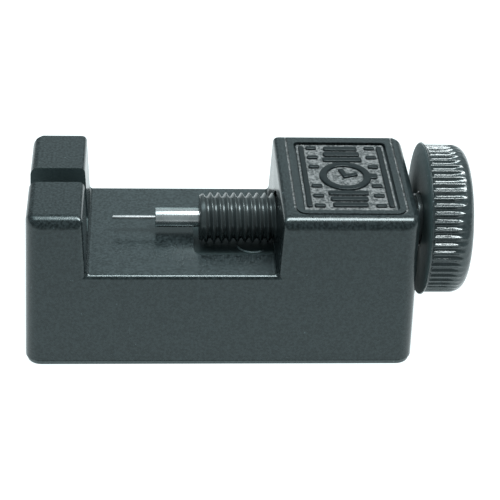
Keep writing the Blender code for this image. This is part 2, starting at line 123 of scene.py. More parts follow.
# Panel on the block's top
PANEL_X = 23.7 * MM
PANEL_Y = 0.5 * MM
PANEL_LENGTH = 18.2 * MM
PANEL_DEPTH = 24.6 * MM         # its extent along Y
PANEL_SINK = 0.4 * MM
PANEL_CORNER = 0.9 * MM
BEAD_WIDTH = 1.15 * MM
GROOVE_WIDTH = 0.45 * MM
GROOVE_SINK = 0.4 * MM

# Emblem on the panel: a watch case, its hands and links, between two scales
EMBLEM_ROUNDING = 0.24 * MM
STROKE_CORNER = 0.3             # part of a stroke's width
EMBLEM_ROOT = 0.06 * MM         # how far it runs down into the field
EMBLEM_TOP = 0.02 * MM          # how far it stays under the block's top
CASE_OUTER = 5.0 * MM
CASE_INNER = 3.5 * MM
HAND_WIDTH = 1.1 * MM
LONG_HAND = (-0.6 * MM, 2.0 * MM)
SHORT_HAND = (1.9 * MM, 0.6 * MM)
CROWN_START = CASE_OUTER + 0.2 * MM
CROWN_LENGTH = 0.2 * MM
CROWN_WIDTH = 1.7 * MM
LINK_PITCH = 2.05 * MM
LINK_WIDTH = 1.5 * MM
LINK_HALF = 3.1 * MM
LINK_TAPER = 0.25 * MM
LINK_COUNT = 3
SCALE_X = 7.7 * MM
SCALE_HALF = 10.4 * MM
SCALE_STEPS = 6
SCALE_TICK = 1.0 * MM
SCALE_GAP = 0.35 * MM
SCALE_WIDTH = 1.1 * MM

# Ejector mark on the pocket's floor
MARK_CENTRE = (6.3 * MM, -1.0 * MM)
MARK_RADIUS = 3.0 * MM
MARK_RIDGE = 0.22 * MM
MARK_START = 188.0              # degrees
MARK_SPAN = 128.0
MARK_TAPER = 6.0                # how fast the arc swells from its ends
MARK_TIP = 0.05                 # part of the ridge that its ends keep

# Base screws
BASE_SCREWS = 4
SCREW_HEAD_RADIUS = 2.2 * MM
SCREW_SHANK_RADIUS = 1.15 * MM
SCREW_SINK = 0.15 * MM          # how far the head lies inside the plate
HEAD_EDGE_WIDTH = 0.12 * MM
HEAD_EDGE_HEIGHT = 0.1 * MM
SCREW_PITCH = 0.9 * MM
SCREW_THREAD_DEPTH = 0.25 * MM
SCREW_POINT = 1.2 * MM          # length of the bare point
SCREW_POINT_RADIUS = 0.6 * MM
SCREW_TIP = 0.05 * MM
RECESS_HALF = 1.25 * MM         # half the length of a bar of the cross
RECESS_HALF_WIDTH = 0.28 * MM
RECESS_DEPTH = 0.7 * MM
RECESS_TURN = 20.0              # degrees from one screw's cross to the next one's

# Spindle
SPINDLE_RADIUS = (SPINDLE_HIGH.z - SPINDLE_LOW.z) / 2.0
THREAD_PITCH = 1.5 * MM
THREAD_DEPTH = 0.82 * MM
THREAD_START = 0.4 * MM         # shifts the thread along X to the photo's crests
THREAD_RUN_IN = 0.7 * MM
THREAD_RUN_OUT = 0.8 * MM
# One pitch of the thread, as (part of the pitch, height from root to crest)
THREAD_SECTION = ((0.0, 1.0), (0.045, 0.985), (0.085, 0.93), (0.37, 0.06), (0.42, 0.01),
                  (0.5, 0.0), (0.58, 0.01), (0.63, 0.06), (0.915, 0.93), (0.955, 0.985))
NOSE_PLAIN = 0.25 * MM
NOSE_CHAMFER = 0.3 * MM
NOSE_LEAD = 2.6 * MM            # length over which the nose tapers
NOSE_LEAD_DEPTH = 0.3 * MM
NOSE_SOFT = 0.2 * MM
TAIL_PLAIN = 2.2 * MM
SHOULDER_X = KNOB_LOW.x + 0.7 * MM
SHANK_RADIUS = 3.0 * MM
HOLDER_SHANK_RADIUS = 1.5 * MM
NOSE_BORE_RIGHT = 6.4 * MM
TAPPED_RADIUS = 1.7 * MM
TAPPED_DEPTH = 4.0 * MM

# Knob
KNOB_LIP_RADIUS = (KNOB_HIGH.z - KNOB_LOW.z) / 2.0
KNOB_RADIUS = KNOB_LIP_RADIUS - 0.49 * MM
KNOB_LIP_WIDTH = 0.55 * MM
KNOB_END_RADIUS = 2.4 * MM
# The lip's left edge, as (right of the knob's face, below the lip's radius)
LIP_EDGE = ((0.0, 0.35 * MM), (0.05 * MM, 0.14 * MM), (0.16 * MM, 0.03 * MM), (0.28 * MM, 0.0))
KNOB_SOFT = 0.12 * MM
RIBS = 60
RIB_DEPTH = 0.5 * MM
# One side of a rib, as (part of the rib's pitch, height)
RIB_FLANK = ((0.0, 1.0), (0.04, 0.99), (0.08, 0.95), (0.11, 0.88), (0.15, 0.7), (0.19, 0.53),
             (0.235, 0.37), (0.28, 0.24), (0.33, 0.125), (0.38, 0.05), (0.44, 0.01))
RIB_SECTION = RIB_FLANK + ((0.5, 0.0),) + tuple((1.0 - at, high) for at, high in RIB_FLANK[:0:-1])
RIB_ANGLES = [math.tau * (rib + phase) / RIBS for rib in range(RIBS) for phase, _ in RIB_SECTION]
RIB_START_FADE = (-0.1 * MM, 0.35 * MM)     # from the lip
RIB_END_FADE = (-2.0 * MM - KNOB_END_RADIUS, -1.2 * MM)     # from the knob's right end
COUNTERBORE_DEPTH = 1.0 * MM
HUB_RIGHT = 43.9 * MM
HEAD_SEAT_RADIUS = 4.6 * MM
CAP_SEAT = 45.6 * MM
CAP_RIM = 1.0 * MM              # length of the cap's straight side
CAP_SOFT = 0.25 * MM
DOME_RINGS = (0.9, 0.75, 0.6, 0.45, 0.3, 0.15)      # parts of the cap's radius

# Punch
SHANK_GROOVE_LEFT = -0.13 * MM
SHANK_GROOVE_RIGHT = 0.53 * MM
SHANK_GROOVE_DEPTH = 0.45 * MM
COLLAR_GAP = 0.1 * MM           # air between the sleeve's collar and the nose
SLEEVE_SOFT = 0.2 * MM
COLLAR_SOFT = 0.05 * MM
PIN_SOCKET = 0.04 * MM          # air round the pin in the sleeve
SOCKET_MOUTH_DEPTH = 0.1 * MM
SOCKET_MOUTH = 0.12 * MM        # air round the pin at the sleeve's end
PIN_SOFT = 0.12 * MM

# Tints of the reflections, and the stage
COOL = (0.84, 1.0, 1.02, 1.0)
NEUTRAL = (0.9, 1.0, 1.01, 1.0)
PALE_BLUE = (0.85, 1.0, 1.03)
WHITE = (1.0, 1.0, 1.0)
FLOOR_HALF = 1.5                # metres
FLOOR_COLOUR = (0.12, 0.12, 0.12)
FLOOR_TINT = (0.9, 1.0, 1.02)
FLOOR_GLOW = 1.1
FLOOR_DIM = 0.4                 # the glow in front of the part, out of view
FLOOR_DIM_FROM = -0.075         # metres along Y
FLOOR_DIM_TO = -0.14
WORLD_STRENGTH = 0.35
LIGHT_TARGET = (0.0, 0.0, 0.02)
# Name, size, radiance, place and colour; lengths in metres
LIGHTS = (("top_key", (0.2, 0.4), 22.0, (0.155, 0.0, 0.57), WHITE),
          ("top_fill", (0.35, 0.4), 2.5, (-0.13, 0.0, 0.57), PALE_BLUE),
          ("back_soft", (0.5, 0.4), 0.4, (0.06, 0.6, 0.42), PALE_BLUE))
CAMERA_PLACE = Vector((-15.53, -256.17, 191.74)) * MM
CAMERA_TURN = -4.821            # degrees
CAMERA_DOWN = 34.35
CAMERA_ROLL = 2.847
CAMERA_LENS = 114.04


# ------------------------------------------------ node helpers

class Shader:
    """A material's node tree, built by short calls."""

    def __init__(self, name):
        self.material = bpy.data.materials.new(name)
        self.material.use_nodes = True
        self.tree = self.material.node_tree
        self.surface = self.tree.nodes["Principled BSDF"]

    def add(self, kind, **settings):
        node = self.tree.nodes.new(kind)
        for key, value in settings.items():
            setattr(node, key, value)
        return node

    def join(self, output, target):
        self.tree.links.new(output, target)

    def coordinates(self, scale=(1.0, 1.0, 1.0)):
        """Object coordinates stretched by a scale on each axis."""
        source = self.add("ShaderNodeTexCoord")
        mapping = self.add("ShaderNodeMapping")
        mapping.inputs["Scale"].default_value = scale
        self.join(source.outputs["Object"], mapping.inputs["Vector"])
        return mapping.outputs["Vector"]

    def noise(self, scale, detail=2.0, stretch=(1.0, 1.0, 1.0), roughness=0.5):
        node = self.add("ShaderNodeTexNoise")
        node.inputs["Scale"].default_value = scale
        node.inputs["Detail"].default_value = detail
        node.inputs["Roughness"].default_value = roughness
        self.join(self.coordinates(stretch), node.inputs["Vector"])
        return node.outputs["Fac"]

    def remap(self, value, low, high, new_low, new_high):
        node = self.add("ShaderNodeMapRange")
        node.inputs["From Min"].default_value = low
        node.inputs["From Max"].default_value = high
        node.inputs["To Min"].default_value = new_low
        node.inputs["To Max"].default_value = new_high
        self.join(value, node.inputs["Value"])
        return node.outputs["Result"]

    def give(self, value, socket):
        """Link an output to a socket, or set a number or a colour on it."""
        if isinstance(value, bpy.types.NodeSocket):
            self.join(value, socket)
        else:
            socket.default_value = value if isinstance(value, float) else (*value, 1.0)

    def blend(self, factor, first, second):
        """Mix of two colours, each a colour or an output."""
        node = self.add("ShaderNodeMix", data_type="RGBA")
        self.join(factor, node.inputs["Factor"])
        self.give(first, node.inputs[6])
        self.give(second, node.inputs[7])
        return node.outputs[2]

    def combine(self, operation, first, second):
        node = self.add("ShaderNodeMath", operation=operation)
        self.give(first, node.inputs[0])
        self.give(second, node.inputs[1])
        return node.outputs[0]

    def bump(self, height, distance, strength=1.0, under=None):
        node = self.add("ShaderNodeBump")
        node.inputs["Distance"].default_value = distance
        node.inputs["Strength"].default_value = strength
        self.join(height, node.inputs["Height"])
        if under is not None:
            self.join(under, node.inputs["Normal"])
        return node.outputs["Normal"]

    def set(self, name, value):
        self.surface.inputs[name].default_value = value

    def feed(self, name, output):
        self.join(output, self.surface.inputs[name])


# ------------------------------------------------ materials

def moulded_plastic(name, colour, light, roughness, grain_size, grain_depth, tint=COOL,
                    ior=1.52, gloss=0.5, swell=0.0):
    """Dark moulded plastic: fine grain, cloudy sheen, dust specks and faint scuffs.

    swell is the depth of slow waves in the surface, as a tumbled or hand-worn piece has.
    """
    shader = Shader(name)
    grain = shader.noise(1.0 / grain_size, 3.0, roughness=0.6)
    clouds = shader.noise(90.0, 3.0)
    mottle = shader.noise(0.6 / grain_size, 2.0)
    specks = shader.remap(shader.noise(1500.0, 1.0), 0.79, 0.82, 0.0, 1.0)
    scuff_field = shader.noise(2400.0, 1.0, (1.0, 0.35, 0.08))
    scuffs = shader.combine("MULTIPLY", shader.remap(scuff_field, 0.74, 0.8, 0.0, 0.25),
                            shader.remap(clouds, 0.5, 0.62, 0.0, 1.0))
    base = shader.blend(shader.remap(mottle, 0.35, 0.65, 0.0, 1.0), colour, light)
    worn = tuple(4.0 * c for c in light)
    marks = shader.combine("MAXIMUM", scuffs, specks)
    shader.feed("Base Color", shader.blend(marks, base, worn))
    rough = shader.remap(clouds, 0.3, 0.7, roughness - 0.03, roughness + 0.04)
    shader.feed("Roughness", shader.combine("ADD", rough, shader.combine("MULTIPLY", marks, 0.15)))
    shader.set("IOR", ior)
    shader.set("Specular IOR Level", gloss)
    shader.set("Specular Tint", tint)
    waves = shader.bump(shader.noise(700.0, 2.0), swell) if swell else None
    shader.feed("Normal", shader.bump(grain, grain_depth, under=waves))
    return shader.material


def panel_painted_sheen_plastic():
    """The sunk panel's matt, coarse-grained field, its grain painted light grey as painted sheen
    and glints on the black plastic.
    """
    shader = Shader("panel_field_painted_sheen")
    grain = shader.noise(1.0 / (0.5 * MM), 4.0, roughness=0.7)
    # Painted sheen: the grain's high spots are painted light grey, standing in for the light that
    # the textured black plastic catches
    base = shader.blend(shader.remap(grain, 0.42, 0.6, 0.0, 1.0), (0.08, 0.095, 0.097),
                        (0.36, 0.385, 0.39))
    shader.feed("Base Color", base)
    shader.set("Roughness", 0.2)
    shader.set("IOR", 1.52)
    shader.set("Specular Tint", COOL)
    shader.feed("Normal", shader.bump(grain, 1.2 * MM))
    return shader.material


def turned_metal(name, colour, roughness, metallic, line_depth):
    """Metal turned about X: fine rings along the axis and a slight stain."""
    shader = Shader(name)
    rings = shader.noise(1.0, 2.0, (9000.0, 120.0, 120.0))
    stain = shader.noise(260.0, 3.0)
    dark = tuple(0.72 * c for c in colour)
    shader.feed("Base Color", shader.blend(shader.remap(stain, 0.35, 0.7, 0.0, 1.0), colour, dark))
    shader.feed("Roughness", shader.remap(rings, 0.3, 0.7, roughness - 0.05, roughness + 0.06))
    shader.set("Metallic", metallic)
    shader.set("Specular Tint", COOL)
    shader.feed("Normal", shader.bump(rings, line_depth))
    return shader.material


BODY_PLASTIC = moulded_plastic(
    "body_plastic", (0.0025, 0.0042, 0.0047), (0.018, 0.025, 0.0265), roughness=0.22,
    grain_size=0.28 * MM, grain_depth=0.012 * MM, ior=1.5)
# The bed is the body's own plastic; this lighter, glossier copy paints its brighter sheen
BED_PAINTED_SHEEN_PLASTIC = moulded_plastic(
    "bed_painted_sheen_plastic", (0.004, 0.0065, 0.007), (0.02, 0.028, 0.03), roughness=0.24,
    grain_size=0.28 * MM, grain_depth=0.011 * MM, ior=1.62)
BASE_PLASTIC = moulded_plastic(
    "base_plastic", (0.04, 0.05, 0.051), (0.06, 0.072, 0.073), roughness=0.35,
    grain_size=0.28 * MM, grain_depth=0.02 * MM)
EMBLEM_PLASTIC = moulded_plastic(
    "emblem_plastic", (0.006, 0.009, 0.01), (0.01, 0.014, 0.015), roughness=0.22,
    grain_size=0.3 * MM, grain_depth=0.012 * MM, gloss=0.17)
KNOB_PLASTIC = moulded_plastic(
    "knob_gloss_plastic", (0.012, 0.018, 0.019), (0.024, 0.033, 0.035), roughness=0.2,
    grain_size=0.6 * MM, grain_depth=0.03 * MM, tint=NEUTRAL, ior=1.67, swell=0.12 * MM)
# The knob's left face is the knob's own plastic; this lighter, matt copy paints the light that the
# face catches
KNOB_FACE_PAINTED_LIGHT_PLASTIC = moulded_plastic(
    "knob_face_painted_light_plastic", (0.08, 0.118, 0.122), (0.11, 0.15, 0.155), roughness=0.5,
    grain_size=0.3 * MM, grain_depth=0.02 * MM, gloss=0.12)
# The slot's and pocket's walls and floor are the body's own plastic; this lighter copy paints fill
# light into their shade
SLOT_PAINTED_LIGHT_PLASTIC = moulded_plastic(
    "slot_painted_light_plastic", (0.035, 0.052, 0.054), (0.047, 0.067, 0.069), roughness=0.4,
    grain_size=0.3 * MM, grain_depth=0.02 * MM, gloss=0.25)
# Light grey: a painted glint on the ejector mark's ridge, which lies in the spindle's shade
MARK_PAINTED_GLINT_PLASTIC = moulded_plastic(
    "mark_painted_glint_plastic", (0.2, 0.27, 0.28), (0.3, 0.38, 0.39), roughness=0.3,
    grain_size=0.3 * MM, grain_depth=0.02 * MM)
PANEL_PAINTED_SHEEN_PLASTIC = panel_painted_sheen_plastic()
THREAD_METAL = turned_metal("blackened_thread", (0.03, 0.037, 0.038), roughness=0.26,
                            metallic=0.0, line_depth=0.003 * MM)
GROUND_STEEL = turned_metal("ground_steel", (0.62, 0.645, 0.65), roughness=0.26,
                            metallic=1.0, line_depth=0.003 * MM)
PIN_STEEL = turned_metal("pin_steel", (0.45, 0.47, 0.475), roughness=0.45,
                         metallic=1.0, line_depth=0.003 * MM)
TURNED_BRASS = turned_metal("turned_brass", (0.62, 0.43, 0.17), roughness=0.28,
                            metallic=1.0, line_depth=0.004 * MM)


# ------------------------------------------------ mesh helpers

def new_piece(name, form, material, body=None, smooth_angle=SMOOTH_ANGLE):
    """A named piece from a bmesh, shaded smooth up to an angle."""
    mesh = bpy.data.meshes.new(name)
    form.to_mesh(mesh)
    form.free()
    piece = bpy.data.objects.new(name, mesh)
    bpy.context.scene.collection.objects.link(piece)
    if material is not None:
        mesh.materials.append(material)
    mesh.shade_smooth()
    mesh.set_sharp_from_angle(angle=math.radians(smooth_angle))
    if body is not None:
        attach(piece, body)
    return piece


def bake_modifiers(piece):
    """Replace a piece's mesh by its evaluated one, so that no modifier is left."""
    bpy.context.view_layer.update()
    graph = bpy.context.evaluated_depsgraph_get()
    mesh = bpy.data.meshes.new_from_object(piece.evaluated_get(graph))
    piece.modifiers.clear()
    piece.data = mesh


def shade(piece):
    """Shade smooth up to an angle, with the normals of flat faces kept true."""
    piece.data.shade_smooth()
    piece.data.set_sharp_from_angle(angle=math.radians(SMOOTH_ANGLE))
    weigh = piece.modifiers.new("weigh", "WEIGHTED_NORMAL")
    weigh.mode = "FACE_AREA"
    weigh.weight = FLAT_WEIGHT
    weigh.keep_sharp = True
    bake_modifiers(piece)


def box_form(low, high):
    low = Vector(low)
    high = Vector(high)
    form = bmesh.new()
    bmesh.ops.create_cube(form, size=1.0)
    bmesh.ops.scale(form, vec=high - low, verts=form.verts)
    bmesh.ops.translate(form, vec=(high + low) / 2.0, verts=form.verts)
    return form


def round_edges(form, edges, radius, segments, clamp=False):
    bmesh.ops.bevel(form, geom=edges, offset=radius, segments=segments, affect="EDGES",
                    profile=0.5, clamp_overlap=clamp)


def upright_edges(form):
    return [edge for edge in form.edges
            if abs(edge.verts[0].co.z - edge.verts[1].co.z) > WELD]


def rounded_box_form(low, high, radius, segments=6):
    form = box_form(low, high)
    round_edges(form, upright_edges(form), radius, segments)
    return form


def cone_form(low_radius, high_radius, length, steps):
    """An upright cone or cylinder about the origin."""
    form = bmesh.new()
    bmesh.ops.create_cone(form, cap_ends=True, segments=steps, radius1=low_radius,
                          radius2=high_radius, depth=length)
    return form


def rod_form(radius, start, end, centre):
    """A cylinder along X between two places; centre is its axis's (y, z)."""
    form = cone_form(radius, radius, end - start, TURN_STEPS)
    bmesh.ops.rotate(form, matrix=Matrix.Rotation(math.radians(90.0), 3, "Y"), verts=form.verts)
    bmesh.ops.translate(form, vec=((start + end) / 2.0, *centre), verts=form.verts)
    return form


def upright_rod_form(radius, low, high, place, steps=SMALL_STEPS):
    form = cone_form(radius, radius, high - low, steps)
    bmesh.ops.translate(form, vec=(*place, (low + high) / 2.0), verts=form.verts)
    return form


def cut(piece, form, operation="DIFFERENCE"):
    """Cut a form from a piece, or join it on, at once."""
    tool = new_piece("tool", form, None)
    step = piece.modifiers.new("cut", "BOOLEAN")
    step.operation = operation
    step.solver = "EXACT"
    step.object = tool
    bake_modifiers(piece)
    bpy.data.objects.remove(tool, do_unlink=True)


def arc(centre_x, centre_r, radius, start, end, count):
    """Points of an arc in the (x, radius) plane, angles in degrees from +X."""
    points = []
    for i in range(count + 1):
        angle = math.radians(start + (end - start) * i / count)
        points.append((centre_x + radius * math.cos(angle), centre_r + radius * math.sin(angle)))
    return points


def on_axis(x, radius, angle):
    """The place at a radius and angle about the spindle line."""
    return (x, radius * math.cos(angle), AXIS_HEIGHT + radius * math.sin(angle))


def turned_form(outline, angles, closed=False, ripple=None):
    """A form turned about the spindle line from (x, radius) points.

    Points at radius 0 become poles.  angles is a count of even steps, or a list of angles.
    ripple, if given, maps (x, radius, step) to a radius.
    """
    if isinstance(angles, int):
        angles = [math.tau * i / angles for i in range(angles)]
    steps = len(angles)
    form = bmesh.new()
    rings = []
    for x, radius in outline:
        if radius < WELD:
            rings.append([form.verts.new((x, 0.0, AXIS_HEIGHT))])
            continue
        radii = [ripple(x, radius, i) if ripple else radius for i in range(steps)]
        rings.append([form.verts.new(on_axis(x, radii[i], angles[i])) for i in range(steps)])
    pairs = list(zip(rings, rings[1:]))
    if closed:
        pairs.append((rings[-1], rings[0]))
    for first, second in pairs:
        join_rings(form, first, second, steps)
    bmesh.ops.recalc_face_normals(form, faces=form.faces)
    return form


def join_rings(form, first, second, steps):
    """Faces between two rings, either of which may be a pole."""
    for i in range(steps):
        j = (i + 1) % steps
        corners = [first[i % len(first)], first[j % len(first)],
                   second[j % len(second)], second[i % len(second)]]
        unique = list(dict.fromkeys(corners))
        if len(unique) > 2:
            form.faces.new(unique)


def level_ring(form, radius, z, steps, place=(0.0, 0.0)):
    """The corners of a level ring, or the one corner of a pole."""
    if radius < WELD:
        return [form.verts.new((*place, z))]
    turns = [math.tau * i / steps for i in range(steps)]
    return [form.verts.new((place[0] + radius * math.cos(turn), place[1] + radius * math.sin(turn),
                            z)) for turn in turns]


# ------------------------------------------------ body

def lean(x, height):
    """Where an end wall that starts at x stands at a height, drawn in by its draft."""
    shift = height * math.tan(END_DRAFT)
    return x - shift if x > 0.0 else x + shift


def body_outline():
    """Post, bed and block seen from the front, as (x, z) corners."""
    half = LENGTH / 2.0
    rise = (HEIGHT - BED_HEIGHT) * math.tan(END_DRAFT)
    return [
        (lean(-half, FOOT), FOOT),
        (lean(half, FOOT), FOOT),
        (lean(half, HEIGHT), HEIGHT),
        (BLOCK_FACE + rise, HEIGHT),
        (BLOCK_FACE, BED_HEIGHT),
        (POST_FACE, BED_HEIGHT),
        (POST_FACE - rise, HEIGHT),
        (lean(-half, HEIGHT), HEIGHT),
    ]


def edge_radius(edge):
    """How far one edge of the body is rounded; the foot's edges stay sharp."""
    first, last = (vert.co for vert in edge.verts)
    if (first.z + last.z) / 2.0 < FOOT + WELD:
        return 0.0
    runs_across = abs(first.y - last.y) > WELD
    if abs(first.z - BED_HEIGHT) < WELD and abs(last.z - BED_HEIGHT) < WELD:
        return INNER_RADIUS if runs_across else BED_EDGE_RADIUS
    outer = min(abs(first.x), abs(last.x)) > LENGTH / 2.0 - END_WALL
    if abs(first.z - HEIGHT) < WELD and abs(last.z - HEIGHT) < WELD:
        if runs_across:
            return END_TOP_RADIUS if outer else INNER_RADIUS
        return FRONT_TOP_RADIUS if first.y < 0.0 else REAR_TOP_RADIUS
    return CORNER_RADIUS if outer else INNER_RADIUS


def body_blank():
    form = bmesh.new()
    front = [form.verts.new((x, -DEPTH / 2.0, z)) for x, z in body_outline()]
    face = form.faces.new(front)
    pulled = bmesh.ops.extrude_face_region(form, geom=[face])
    moved = [item for item in pulled["geom"] if isinstance(item, bmesh.types.BMVert)]
    bmesh.ops.translate(form, vec=(0.0, DEPTH, 0.0), verts=moved)
    bmesh.ops.recalc_face_normals(form, faces=form.faces)
    weights = form.edges.layers.float.new("bevel_weight_edge")
    for edge in form.edges:
        edge[weights] = edge_radius(edge) / CORNER_RADIUS
    piece = new_piece("body_shell", form, BODY_PLASTIC)
    bevel = piece.modifiers.new("rounding", "BEVEL")
    bevel.limit_method = "WEIGHT"
    bevel.width = CORNER_RADIUS
    bevel.segments = 6
    bevel.use_clamp_overlap = False
    bake_modifiers(piece)
    return piece


def screw_places():
    """Centres of the frame's base screws."""
    places = []
    for index in range(1, BASE_SCREWS + 1):
        low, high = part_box(f"base_screw_{index}")
        places.append(((low.x + high.x) / 2.0, (low.y + high.y) / 2.0))
    return places


def hollow_body(body):
    """The shell's hollow, its screw bosses and their pilot holes."""
    half_x = LENGTH / 2.0 - END_WALL
    half_y = DEPTH / 2.0 - WALL
    cut(body, rounded_box_form((-half_x, -half_y, 0.0), (half_x, half_y, CAVITY_TOP),
                               CAVITY_CORNER))
    foot = PLATE_HIGH.z + GAP
    for place in screw_places():
        cut(body, upright_rod_form(BOSS_RADIUS, foot, CAVITY_TOP + BOSS_ROOT, place), "UNION")
        cut(body, upright_rod_form(PILOT_RADIUS, foot - GAP, PILOT_TOP, place, steps=24))


def rounded_bar_form(start, end, half_width, low, high, corner):
    """A cutter along X whose lower long edges are rounded."""
    form = box_form((start, -half_width, low), (end, half_width, high))
    edges = [edge for edge in form.edges
             if edge.verts[0].co.z < low + WELD and edge.verts[1].co.z < low + WELD
             and abs(edge.verts[0].co.x - edge.verts[1].co.x) > WELD]
    round_edges(form, edges, corner, 4)
    return form


def pocket_form():
    """The pocket under the spindle, rounded at its left corners and square at the block."""
    form = rounded_box_form((POCKET_END, -POCKET_WIDTH / 2.0, POCKET_FLOOR),
                            (BLOCK_FACE + POCKET_CORNER, POCKET_WIDTH / 2.0, BED_HEIGHT + GAP),
                            POCKET_CORNER)
    bmesh.ops.bisect_plane(form, geom=form.verts[:] + form.edges[:] + form.faces[:],
                           plane_co=(BLOCK_FACE, 0.0, 0.0), plane_no=(1.0, 0.0, 0.0),
                           clear_outer=True)
    bmesh.ops.holes_fill(form, edges=form.edges)
    return form


def cut_spindle_way(body):
    """The pocket in the bed, the way through the block and the bush's seat."""
    axis = (0.0, AXIS_HEIGHT)
    past = LENGTH / 2.0 + BEYOND
    cut(body, pocket_form())
    cut(body, rod_form(WAY_RADIUS, BLOCK_FACE - GAP, past, axis))
    seat_radius = (BUSH_HIGH.z - BUSH_LOW.z) / 2.0 + RUNNING
    cut(body, rod_form(seat_radius, BUSH_LOW.x - GAP, past, axis))


def cut_slot(body):
    cut(body, rounded_bar_form(-LENGTH / 2.0 - BEYOND, POST_FACE + BEYOND, SLOT_WIDTH / 2.0,
                               SLOT_FLOOR, HEIGHT + BEYOND, SLOT_CORNER))


def panel_form(margin, corner, low, rear=0.0):
    half_x = PANEL_LENGTH / 2.0 + margin
    half_y = PANEL_DEPTH / 2.0 + margin
    return rounded_box_form((PANEL_X - half_x, PANEL_Y - half_y, low),
                            (PANEL_X + half_x, PANEL_Y + half_y + rear, HEIGHT + BEYOND), corner)


def cut_groove(body, margin, corner, sink, rear=0.0):
    """A narrow groove whose inner edge stands at a margin around the panel's field."""
    ring = new_piece("ring", panel_form(margin + GROOVE_WIDTH, corner + GROOVE_WIDTH,
                                        HEIGHT - sink, rear), None)
    cut(ring, panel_form(margin, corner, HEIGHT - BEYOND, rear))
    form = bmesh.new()
    form.from_mesh(ring.data)
    bpy.data.objects.remove(ring, do_unlink=True)
    cut(body, form)


def cut_panel(body):
    """The sunk field, inside a bead that lies between two narrow grooves."""
    cut(body, panel_form(0.0, PANEL_CORNER, HEIGHT - PANEL_SINK))
    cut_groove(body, BEAD_WIDTH, PANEL_CORNER + BEAD_WIDTH, GROOVE_SINK, BEYOND)
    cut_groove(body, -GROOVE_WIDTH, PANEL_CORNER - GROOVE_WIDTH, PANEL_SINK + GROOVE_SINK)


def soften_cut_edges(body):
    """Round the sharp edges that the cuts have left above the foot."""
    form = bmesh.new()
    form.from_mesh(body.data)
    bmesh.ops.remove_doubles(form, verts=form.verts, dist=5.0 * WELD)
    bmesh.ops.dissolve_degenerate(form, edges=form.edges, dist=10.0 * WELD)
    sharp = []
    for edge in form.edges:
        if len(edge.link_faces) != 2 or min(v.co.z for v in edge.verts) < CUT_EDGES_ABOVE:
            continue
        if edge.calc_face_angle() > math.radians(SHARP_ANGLE):
            sharp.append(edge)
    round_edges(form, sharp, CUT_EDGE_RADIUS, 2, clamp=True)
    form.to_mesh(body.data)
    form.free()


def material_slot_of(face):
    """Which material slot one face of the body takes: its own plastic, the painted sheen of the
    field or the bed, or the painted light of the slot and pocket.
    """
    place = face.center
    in_slot = (place.x < POST_FACE and abs(place.y) < SLOT_WIDTH / 2.0 + NEAR
               and place.z > SLOT_FLOOR - NEAR and abs(face.normal.x) < ASIDE)
    in_pocket = (POCKET_END - NEAR < place.x < BLOCK_FACE
                 and abs(place.y) < POCKET_WIDTH / 2.0 + NEAR
                 and POCKET_FLOOR - NEAR < place.z < BED_HEIGHT - 20.0 * NEAR)
    if in_slot or in_pocket:
        return SLOT_PAINTED_LIGHT
    if face.normal.z < FACING:
        return BODY_FINISH
    on_field = (abs(place.x - PANEL_X) < PANEL_LENGTH / 2.0
                and abs(place.y - PANEL_Y) < PANEL_DEPTH / 2.0
                and abs(place.z - (HEIGHT - PANEL_SINK)) < 2.0 * NEAR)
    if on_field:
        return PANEL_PAINTED_SHEEN
    return BED_PAINTED_SHEEN if abs(place.z - BED_HEIGHT) < 10.0 * NEAR else BODY_FINISH


def paint_body(body):
    """Give the panel's field and the bed their painted sheen, and the slot and pocket their
    painted fill light.
    """
    for painted_material in (PANEL_PAINTED_SHEEN_PLASTIC, BED_PAINTED_SHEEN_PLASTIC, SLOT_PAINTED_LIGHT_PLASTIC):
        body.data.materials.append(painted_material)
    for face in body.data.polygons:
        face.material_index = material_slot_of(face)


def join_forms(target, extra):
    """Put one form's geometry into another."""
    mesh = bpy.data.meshes.new("joined")
    extra.to_mesh(mesh)
    extra.free()
    target.from_mesh(mesh)
    bpy.data.meshes.remove(mesh)


def stroke_form(start, end, width, low, high):
    """A raised bar with rounded top edges, from one (x, y) place to another."""
    run = Vector(end) - Vector(start)
    form = box_form((-width / 2.0, -width / 2.0, low),
                    (run.length + width / 2.0, width / 2.0, high))
    round_edges(form, upright_edges(form), width * STROKE_CORNER, 3)
    top = [edge for edge in form.edges if min(v.co.z for v in edge.verts) > high - WELD]
    round_edges(form, top, EMBLEM_ROUNDING, 3)
    turn = Matrix.Rotation(math.atan2(run.y, run.x), 3, "Z")
    bmesh.ops.rotate(form, matrix=turn, verts=form.verts)
    bmesh.ops.translate(form, vec=(*start, 0.0), verts=form.verts)
    return form


def raised_ring_form(outer, inner, low, high):
    """A flat ring about the local upright axis, with rounded top edges."""
    soft = EMBLEM_ROUNDING
    section = [(outer, low)] + arc(outer - soft, high - soft, soft, 0.0, 90.0, 4)
    section += arc(inner + soft, high - soft, soft, 90.0, 180.0, 4) + [(inner, low)]
    form = bmesh.new()
    steps = 72
    rings = [level_ring(form, radius, z, steps) for radius, z in section]
    for first, second in zip(rings, rings[1:] + rings[:1]):
        join_rings(form, first, second, steps)
    bmesh.ops.recalc_face_normals(form, faces=form.faces)
    return form


